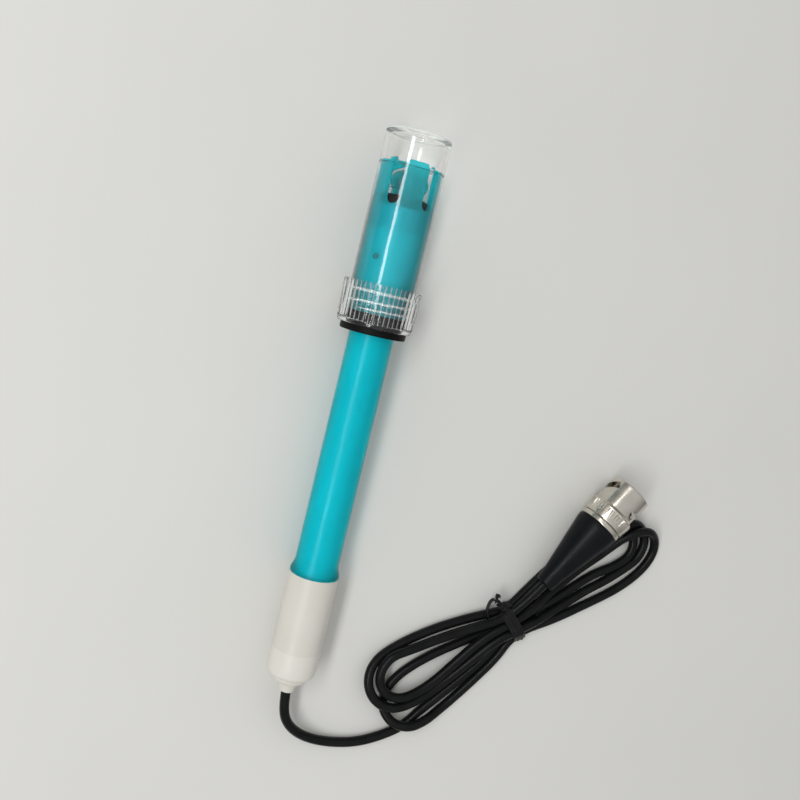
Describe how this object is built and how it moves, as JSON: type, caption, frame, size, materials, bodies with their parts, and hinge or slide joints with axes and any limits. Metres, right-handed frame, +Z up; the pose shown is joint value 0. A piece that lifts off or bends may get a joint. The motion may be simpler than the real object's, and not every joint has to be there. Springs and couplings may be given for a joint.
{
  "type": "ph electrode",
  "caption": "Combination pH electrode with a slotted bulb guard, screw-capped storage bottle, and a corded bayonet plug.",
  "frame": {"origin": "under the middle of the lying electrode and bottle, on the surface that they lie on", "axes": "+X along the electrode from its head to its bulb end, +Z up, the cord on the -Y side"},
  "size_m": [0.1731, 0.1193, 0.021],
  "materials": {
    "teal_plastic": "translucent, glossy",
    "ceramic": "porous ceramic",
    "white_plastic": "satin moulded",
    "copper": "bare wire",
    "stem_glass": "clear blown glass",
    "silver": "bare wire",
    "silver_chloride": "dull dark coating",
    "black_rubber": "satin",
    "clear_cap": "clear moulded plastic",
    "clear_vial": "clear moulded plastic",
    "cable_jacket": "satin",
    "tie_plastic": "satin",
    "boot_rubber": "satin",
    "nickel": "nickel plated",
    "gold": "gold plated",
    "spring_steel": "plain"
  },
  "bodies": {
    "electrode": {"body_tube": "teal_plastic", "junction_frit": "ceramic", "head_cap": "white_plastic", "head_end": "white_plastic", "cable_nipple": "white_plastic", "core_lead": "copper", "shield_lead": "copper", "head_plug": "white_plastic", "glass_stem": "stem_glass", "measuring_wire": "silver", "measuring_coating": "silver_chloride", "reference_wire": "silver", "reference_coating": "silver_chloride", "stem_plug": "teal_plastic", "stem_seal_ring": "black_rubber", "cord_root": "cable_jacket", "cord_lead": "cable_jacket", "cord_hank": "cable_jacket", "cord_tail": "cable_jacket", "cable_tie": "tie_plastic", "plug_boot": "boot_rubber", "cord_end": "cable_jacket", "plug_core": "copper", "plug_body": "nickel", "plug_insulator": "white_plastic", "plug_pin": "gold", "plug_gasket": "black_rubber", "wave_washer": "spring_steel", "snap_ring": "spring_steel"},
    "bottle": {"vial": "clear_vial"},
    "bottle_seal": {"seal_ring": "black_rubber"},
    "bottle_cap": {"ribbed_cap": "clear_cap"},
    "plug_ring": {"coupling_ring": "nickel"}
  },
  "joints": [
    {"name": "bottle_pull", "type": "slide", "parent": "electrode", "child": "bottle", "axis": [0.9994, 0, 0.0336], "range_m": [0, 0.062]},
    {"name": "seal_back_off", "type": "slide", "parent": "bottle", "child": "bottle_seal", "axis": [-0.9994, 0, -0.0336], "range_m": [0, 0.003]},
    {"name": "cap_turn", "type": "hinge", "parent": "bottle_seal", "child": "bottle_cap", "pos_m": [0.03157, 0, 0.0103], "axis": [-0.9994, 0, -0.0336], "range_deg": [0, 544]},
    {"name": "ring_turn", "type": "hinge", "parent": "electrode", "child": "plug_ring", "pos_m": [-0.01079, -0.08717, 0.0073], "axis": [0.8383, -0.5452, 0], "continuous": true}
  ],
  "couplings": [
    {"joint": "cap_turn", "follows": "seal_back_off", "rad_per_m": 3141.6}
  ]
}
